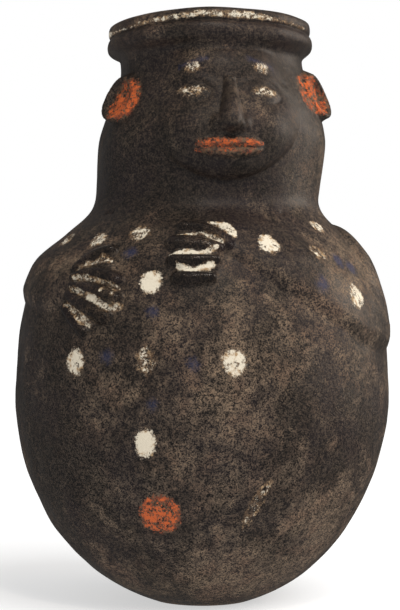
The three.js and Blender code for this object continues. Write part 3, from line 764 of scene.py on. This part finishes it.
# Degrees between columns, from one turn to another, and millimetres between rows up to a height.
# Both are smallest on the face and hands. The inside and the base have their own rows
COLUMN_GAPS = [(-90, -58, 1.1), (-58, 17, 0.55), (17, 94, 0.84), (94, 270, 3.6)]
ROW_GAPS = [
    (BELLY_HEIGHT, 4.0),
    (212, 3.6),
    (304, 1.35),
    (324, 2.5),
    (HAIRLINE_HEIGHT, 1.6),
    (HEIGHT, 1.15),
]
BASE_GAP, INNER_GAP = 8, 12.0
# The clay's unevenness: how long its swells are, and how high. It fades out toward the ground
SWELLS = [(95, 0.8), (34, 0.3), (15, 0.1)]
GROUND_START, GROUND_END = 2, 30
RIM_SWELL, RIM_RISE = 60, 0.55
# The lip's inside: how far its curve bulges and falls, and how much wider the throat's starts
LIP_BULGE, LIP_FALL, THROAT_FLARE = 1, 5, 1.5
# How far below the crest the inside's soot starts, and is whole
INSIDE_START, INSIDE_WHOLE = 1, 12


def stretches(*parts):
    """Numbers that run through (start, end, gap) stretches, without the last end."""
    return np.concatenate(
        [np.linspace(a, b, max(1, round((b - a) / gap)), endpoint=False) for a, b, gap in parts]
    )


def wavy(spots, length, count=14):
    """Smooth unevenness between about -1 and 1, with features of a given length."""
    out = np.zeros(len(spots))
    for _ in range(count):
        way = rng.normal(size=3)
        way *= 2 * math.pi / (length * rng.uniform(0.8, 1.7) * np.linalg.norm(way))
        out += np.sin(spots @ way + rng.uniform(0, 2 * math.pi))
    return out / math.sqrt(count)


def inner_section():
    """The inside, from the crest of the lip down to the middle of the floor, as (r, z) points."""
    mouth_radius = min(COLLAR_RADIUS - WALL, BAND_RADIUS - LIP)
    lip = bezier(
        (CREST_RADIUS, HEIGHT),
        (BAND_RADIUS - LIP + LIP_BULGE, HEIGHT),
        (BAND_RADIUS - LIP - LIP_BULGE, HEIGHT - LIP_FALL),
        count=8,
    )
    throat = bezier(
        tuple(lip[-1]),
        (mouth_radius + THROAT_FLARE, lerp(COLLAR_HEIGHT, HEIGHT, 0.6)),
        (mouth_radius, COLLAR_HEIGHT),
        count=10,
    )
    start = float(along_at(COLLAR_HEIGHT)) - INNER_GAP
    down = np.arange(start, BASE_RADIUS * 0.6, -INNER_GAP)
    r, z, nr, nz = outline_at(down)
    wall = np.stack([r - WALL * nr, np.maximum(z - WALL * nz, FLOOR)], axis=1)
    floor = np.array([(INNER_GAP, FLOOR)])
    return np.vstack([lip[1:], throat[1:], wall, floor])


def relief(points, turn, along, r, z):
    """How far the clay stands off the pot, how sooty the hands are, and how pale the arms' edges
    are, worn and with a painted highlight.
    """
    height, soot, rub_and_highlight = (np.zeros(len(turn)) for _ in range(3))
    zone = (z > ARMS_LOWEST) & (z < ARMS_HIGHEST)
    near = tuple(p[zone] for p in points)
    for arm in ARMS:
        lift, rubbed = arm_height(near, arm)
        height[zone] = np.maximum(height[zone], lift)
        rub_and_highlight[zone] = np.maximum(rub_and_highlight[zone], rubbed)
    for hand in HANDS:
        lift, dark = hand_height(near, hand)
        height[zone] = np.maximum(height[zone], lift)
        soot[zone] = np.maximum(soot[zone], dark)
    height += face_height(turn, z, r)
    for pit_turn, pit_height in PITS:
        across = np.radians(turn - pit_turn) * r
        up = along - along_at(pit_height)
        height -= PIT_DEPTH * hump(across / PIT_RADIUS, up / PIT_RADIUS)
    return height, soot, rub_and_highlight


def swell(shell):
    """Moves the points of the jar in and out, and the rim up and down, as hands leave clay."""
    sway = sum(wavy(shell, length) * height for length, height in SWELLS)
    sway *= smooth(shell[:, 2], GROUND_START, GROUND_END)
    radial = shell[:, :2] / np.maximum(np.linalg.norm(shell[:, :2], axis=1), 1)[:, None]
    shell[:, :2] += radial * sway[:, None]
    rise = wavy(shell, RIM_SWELL) * RIM_RISE
    shell[:, 2] += rise * smooth(shell[:, 2], COLLAR_HEIGHT, BAND_HEIGHT)


def tube_faces(rows, wide):
    """Quads between the rows, and a fan at each end, round the two points that follow the rows."""
    row, column = np.meshgrid(np.arange(rows - 1), np.arange(wide), indexing="ij")
    left, right = row * wide + column, row * wide + (column + 1) % wide
    quads = np.stack([left, right, right + wide, left + wide], axis=-1).reshape(-1, 4)
    base, top = rows * wide, rows * wide + 1
    last = (rows - 1) * wide
    fans = [(base, (i + 1) % wide, i) for i in range(wide)]
    fans += [(top, last + i, last + (i + 1) % wide) for i in range(wide)]
    return quads.tolist() + fans


def jar_arrays():
    """The jar's points in metres, its faces, and the material's fields on the points."""
    turns = stretches(*COLUMN_GAPS)
    ends = [BASE_RADIUS] + [float(along_at(z)) for z, _ in ROW_GAPS]
    rows = [(low, high, gap) for low, high, (_, gap) in zip(ends, ends[1:], ROW_GAPS)]
    alongs = np.append(stretches((BASE_GAP, BASE_RADIUS, BASE_GAP), *rows), LENGTH)
    wide, tall = len(turns), len(alongs)

    turn = np.tile(turns, tall)
    along = np.repeat(alongs, wide)
    r, z, nr, nz = outline_at(along)
    spots, normals = placed(turn, r, z), outward(turn, nr, nz)
    height, soot, rub_and_highlight = relief((spots, normals), turn, along, r, z)
    fields = paint_fields((spots, normals), turn, along, z)
    # Wear here also carries painted shade on the left and under the chin, and a painted highlight
    # along the arms' edges
    wear = wear_and_shade_field(turn, along, r, z) + ARM_WEAR_AND_HIGHLIGHT * rub_and_highlight
    fields["wear"] = wear * (1 - soot) - HAND_SOOT * soot
    fields["gloss"] = soot

    outer = spots + normals * height[:, None] + ear_offset(turn, along)
    section = inner_section()
    inner_r, inner_z = (np.repeat(column, wide) for column in section.T)
    inner = placed(np.tile(turns, len(section)), inner_r, inner_z)
    shell = np.vstack([outer, inner])
    swell(shell)
    points = np.vstack([shell, [(0, 0, 0), (0, 0, FLOOR)]]) * MM

    fields = {
        name: np.concatenate([values, np.zeros(len(points) - len(values))])
        for name, values in fields.items()
    }
    below = smooth(HEIGHT - inner_z, INSIDE_START, INSIDE_WHOLE)
    fields["inside"] = np.concatenate([np.zeros(len(outer)), below, [0, 1]])
    return points, tube_faces(tall + len(section), wide), fields


def jar_object():
    points, faces, fields = jar_arrays()
    mesh = bpy.data.meshes.new("jar_clay")
    mesh.from_pydata(points.tolist(), [], faces)
    mesh.polygons.foreach_set("use_smooth", [True] * len(mesh.polygons))
    for name, values in fields.items():
        attribute = mesh.attributes.new(name, "FLOAT", "POINT")
        attribute.data.foreach_set("value", values.astype(np.float32))
    mesh.update()
    piece = bpy.data.objects.new("jar_clay", mesh)
    bpy.context.scene.collection.objects.link(piece)
    return piece


# Material

# Where the Mix node keeps its colour sockets, which share their names with its number sockets
COLOUR_A, COLOUR_B, COLOUR_OUT = 6, 7, 2


class Nodes:
    """Shorthand for building one material's nodes."""

    def __init__(self, tree):
        self.tree = tree
        self.place = self.tree.nodes.new("ShaderNodeTexCoord").outputs["Object"]

    def put(self, socket, value):
        if isinstance(value, bpy.types.NodeSocket):
            self.tree.links.new(value, socket)
        elif value is not None:
            socket.default_value = value

    def attribute(self, name):
        node = self.tree.nodes.new("ShaderNodeAttribute")
        node.attribute_name = name
        return node.outputs["Fac"]

    def math(self, operation, a, b=None, c=None, clamp=False):
        node = self.tree.nodes.new("ShaderNodeMath")
        node.operation = operation
        node.use_clamp = clamp
        for socket, value in zip(node.inputs, (a, b, c)):
            self.put(socket, value)
        return node.outputs[0]

    def noise(self, scale, detail, roughness=0.55, distortion=0.0):
        node = self.tree.nodes.new("ShaderNodeTexNoise")
        self.put(node.inputs["Vector"], self.place)
        for name, value in zip(
            ("Scale", "Detail", "Roughness", "Distortion"),
            (scale, detail, roughness, distortion),
        ):
            node.inputs[name].default_value = value
        return node.outputs["Fac"]

    def weighted(self, base, *layers):
        """A base plus layers of noise round 0.5, each with its weight."""
        total = base - 0.5 * sum(weight for _, weight in layers)
        for layer, weight in layers:
            total = self.math("MULTIPLY_ADD", layer, weight, total)
        return total

    def steps(self, value, low, high, out_low=0.0, out_high=1.0):
        """Runs smoothly from one number to another as the value goes from low to high."""
        node = self.tree.nodes.new("ShaderNodeMapRange")
        node.interpolation_type = "SMOOTHSTEP"
        for name, v in zip(
            ("Value", "From Min", "From Max", "To Min", "To Max"),
            (value, low, high, out_low, out_high),
        ):
            self.put(node.inputs[name], v)
        return node.outputs["Result"]

    def blend(self, share, a, b):
        """Colour a where the share is 0, and b where it is 1."""
        node = self.tree.nodes.new("ShaderNodeMix")
        node.data_type = "RGBA"
        self.put(node.inputs["Factor"], share)
        self.put(node.inputs[COLOUR_A], a)
        self.put(node.inputs[COLOUR_B], b)
        return node.outputs[COLOUR_OUT]


def linear(red, green, blue):
    """A colour given as 0 to 255 display values, as the shader wants it."""
    out = []
    for v in (red, green, blue):
        v /= 255
        out.append(v / 12.92 if v <= 0.04045 else ((v + 0.055) / 1.055) ** 2.4)
    return (*out, 1.0)


SOOT = linear(17, 14, 13)
PURPLE_SOOT = linear(24, 18, 21)
BROWN_SOOT = linear(50, 42, 36)
TAN = linear(121, 101, 81)
RUSSET = linear(115, 92, 73)
CREAM = linear(208, 198, 178)
STAINED_CREAM = linear(156, 128, 94)
STAIN = linear(110, 84, 58)
ORANGE = linear(184, 84, 32)
DULL_ORANGE = linear(112, 56, 34)
BLUE = linear(36, 42, 70)

# Noises of the clay and the paint: features in a metre, detail, roughness and distortion
GRAIN, FLECK, MOTTLE = (900, 3, 0.7), (330, 4, 0.7), (110, 4, 0.65)
PATCH, CLOUD = (30, 5, 0.6, 0.6), (10, 3)
SOOT_TONE, CLAY_TONE, PAINT_TONE = (22, 4), (48, 4), (210, 4)
FINE_RAGS, WIDE_RAGS = (520, 4, 0.75), (150, 3)
FINE_FLAKES, WIDE_FLAKES = (620, 4, 0.75), (180, 3)
BURNISH = (45, 4)
FINE_BUMPS, WIDE_BUMPS = (300, 5, 0.65), (70, 3)
BUMP_STRENGTH, BUMP_DISTANCE = 0.5, 0.8 * MM
INSIDE_SOOT = 0.6


def clay_material():
    material = bpy.data.materials.new("burnished_clay")
    material.use_nodes = True
    n = Nodes(material.node_tree)
    shader = material.node_tree.nodes["Principled BSDF"]
    wear, gloss, inside = (n.attribute(name) for name in ("wear", "gloss", "inside"))

    # The burnish is rubbed off in clouds, where the clay shows as pale specks
    grain = n.noise(*GRAIN)
    fleck = n.noise(*FLECK)
    clouds = n.weighted(
        0.37, (n.noise(*PATCH), 1.6), (n.noise(*MOTTLE), 1.1), (n.noise(*CLOUD), 0.5)
    )
    # The wear attribute also holds painted shade on the left and under the chin, and the painted
    # highlight on the arms' edges, which darken and lighten the clay here
    rubbed = n.steps(n.math("MULTIPLY_ADD", wear, 0.36, clouds), 0.2, 1.0)
    specks = n.steps(n.weighted(0.5, (grain, 1.25), (fleck, 0.7)), 0.33, 0.7)
    specks = n.math("MULTIPLY", specks, n.math("MULTIPLY_ADD", gloss, -0.5, 1.0))
    pale = n.math("MULTIPLY", rubbed, n.math("MULTIPLY_ADD", specks, 0.8, 0.12))
    fine = n.math("MULTIPLY", specks, n.steps(wear, -1.0, 0.0, 0.6, 1.0))
    pale = n.math("ADD", pale, n.math("MULTIPLY_ADD", fine, 0.27, -0.05), clamp=True)
    dark = n.blend(n.steps(n.noise(*SOOT_TONE), 0.42, 0.62), SOOT, PURPLE_SOOT)
    dark = n.blend(n.math("MULTIPLY", specks, 0.6), dark, BROWN_SOOT)
    light = n.blend(n.steps(n.noise(*CLAY_TONE), 0.46, 0.62), TAN, RUSSET)
    colour = n.blend(pale, dark, light)

    # Paint has ragged edges, flakes off in small bits, and leaves a brown stain round itself
    ragged = n.weighted(0.0, (n.noise(*FINE_RAGS), 0.9), (n.noise(*WIDE_RAGS), 0.45))
    flakes = n.weighted(0.5, (n.noise(*FINE_FLAKES), 0.8), (n.noise(*WIDE_FLAKES), 0.6))
    tone = n.noise(*PAINT_TONE)

    def painted(colour, field, worn, fresh, stained):
        field = n.math("ADD", field, ragged)
        edge = n.steps(field, 0.4, 0.6)
        start = n.math("MULTIPLY_ADD", worn, 0.3, 0.26)
        kept = n.steps(flakes, start, n.math("ADD", start, 0.12))
        share = n.math("MULTIPLY", edge, kept)
        stain = n.math("MULTIPLY", n.steps(field, 0.32, 0.52), n.steps(fleck, 0.4, 0.62, 0, 0.6))
        colour = n.blend(stain, colour, STAIN)
        low = n.math("MULTIPLY_ADD", worn, -0.22, 0.52)
        low = n.math("MULTIPLY_ADD", field, 0.35, n.math("SUBTRACT", low, 0.2))
        paint = n.blend(n.steps(tone, low, n.math("ADD", low, 0.2)), fresh, stained)
        return n.blend(share, colour, paint), share

    smudge = n.steps(n.math("ADD", n.attribute("paint_blue"), ragged), 0.34, 0.85, 0, 0.7)
    colour = n.blend(smudge, colour, BLUE)
    colour, orange = painted(
        colour, n.attribute("paint_orange"), n.attribute("orange_worn"), ORANGE, DULL_ORANGE
    )
    colour, white = painted(
        colour, n.attribute("paint_white"), n.attribute("white_worn"), CREAM, STAINED_CREAM
    )
    colour = n.blend(n.math("MULTIPLY", inside, INSIDE_SOOT), colour, SOOT)
    n.put(shader.inputs["Base Color"], colour)

    # Burnished clay is glossy, most of all on the digits, and specks and paint are matt
    paint = n.math("MAXIMUM", white, orange)
    burnish = n.steps(n.noise(*BURNISH), 0.35, 0.7, 0.38, 0.52)
    rough = n.math("MULTIPLY_ADD", pale, 0.4, burnish)
    rough = n.math("MULTIPLY_ADD", gloss, -0.3, rough)
    rough = n.math("MULTIPLY_ADD", paint, 0.25, rough, clamp=True)
    n.put(shader.inputs["Roughness"], rough)

    bump = material.node_tree.nodes.new("ShaderNodeBump")
    bump.inputs["Strength"].default_value = BUMP_STRENGTH
    bump.inputs["Distance"].default_value = BUMP_DISTANCE
    fine, broad = n.noise(*FINE_BUMPS), n.noise(*WIDE_BUMPS)
    surface = n.weighted(0.5, (fine, 0.8), (grain, 0.5), (broad, 0.6), (paint, 0.25))
    n.put(bump.inputs["Height"], surface)
    n.put(shader.inputs["Normal"], bump.outputs["Normal"])
    return material


# Studio

# The room's brightness as it is seen, as it lights the jar, and as it mirrors in it
SEEN_ROOM, DIFFUSE_ROOM, GLOSSY_ROOM = 1.0, 0.45, 0.13
GROUND_HALF = 30.0
PAPER_GREY, PAPER_GLOW = 0.5, 0.55
KEY_POWER, KEY_SPREAD = 2.7, 50
WARM_WHITE = (1.0, 0.88, 0.76)


def aim(light, place, target):
    light.location = place
    way = np.array(target, float) - np.array(place, float)
    flat = math.hypot(way[0], way[1])
    light.rotation_euler = (math.pi / 2 + math.atan2(way[2], flat), 0, math.atan2(-way[0], way[1]))


def softbox(name, place, target, size, power):
    data = bpy.data.lights.new(name, "AREA")
    data.shape = "DISK"
    data.size = size
    data.energy = power
    data.color = WARM_WHITE
    light = bpy.data.objects.new(name, data)
    bpy.context.scene.collection.objects.link(light)
    aim(light, place, target)


def studio():
    world = bpy.data.worlds.new("studio")
    world.use_nodes = True
    background = world.node_tree.nodes["Background"]
    background.inputs["Color"].default_value = (1, 1, 1, 1)
    # The room is white to the eye, but lights the jar less, as if dark cards stood round it
    tree = world.node_tree
    path = tree.nodes.new("ShaderNodeLightPath")
    strength = background.inputs["Strength"]
    for ray, room in (("Is Glossy Ray", GLOSSY_ROOM), ("Is Diffuse Ray", DIFFUSE_ROOM)):
        dim = tree.nodes.new("ShaderNodeMath")
        dim.operation = "MULTIPLY_ADD"
        tree.links.new(path.outputs[ray], dim.inputs[0])
        dim.inputs[1].default_value = room - SEEN_ROOM
        tree.links.new(dim.outputs[0], strength)
        strength = dim.inputs[2]
    strength.default_value = SEEN_ROOM
    bpy.context.scene.world = world

    mesh = bpy.data.meshes.new("floor")
    a = GROUND_HALF
    mesh.from_pydata([(-a, -a, 0), (a, -a, 0), (a, a, 0), (-a, a, 0)], [], [(0, 1, 2, 3)])
    floor = bpy.data.objects.new("floor", mesh)
    bpy.context.scene.collection.objects.link(floor)
    paper = bpy.data.materials.new("paper")
    paper.use_nodes = True
    shader = paper.node_tree.nodes["Principled BSDF"]
    shader.inputs["Base Color"].default_value = (PAPER_GREY, PAPER_GREY, PAPER_GREY, 1)
    shader.inputs["Emission Color"].default_value = (1, 1, 1, 1)
    shader.inputs["Emission Strength"].default_value = PAPER_GLOW
    shader.inputs["Roughness"].default_value = 0.9
    shader.inputs["Specular IOR Level"].default_value = 0.0
    mesh.materials.append(paper)
    floor.visible_glossy = False

    data = bpy.data.lights.new("key", "SUN")
    data.energy = KEY_POWER
    data.angle = math.radians(KEY_SPREAD)
    key = bpy.data.objects.new("key", data)
    bpy.context.scene.collection.objects.link(key)
    key.visible_glossy = False
    aim(key, (1.2, -1.1, 1.8), (0, 0, 0))
    softbox("glint", (0.4, -1.5, 1.9), (0, 0, 0.25), size=0.16, power=7)
    softbox("sheen", (0.3, -1.2, 1.8), (0, 0, 0.3), size=0.8, power=1.0)
    softbox("side", (1.6, 0.3, 0.8), (0, 0, 0.2), size=1.0, power=9.5)


def camera():
    data = bpy.data.cameras.new("camera")
    eye = bpy.data.objects.new("camera", data)
    bpy.context.scene.collection.objects.link(eye)
    longest = max(PHOTO_WIDE, PHOTO_TALL)
    data.lens = data.sensor_width * PIXELS_PER_METRE * CAMERA_DISTANCE / longest
    eye.location = (CAMERA_SIDE, -CAMERA_DISTANCE, CAMERA_HEIGHT)
    eye.rotation_euler = (math.pi / 2, 0, 0)
    bpy.context.scene.camera = eye


camera()
studio()
jar = jar_object()
jar.data.materials.append(clay_material())
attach(jar, "root")
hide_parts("jar")

bpy.context.scene.view_settings.view_transform = "Standard"
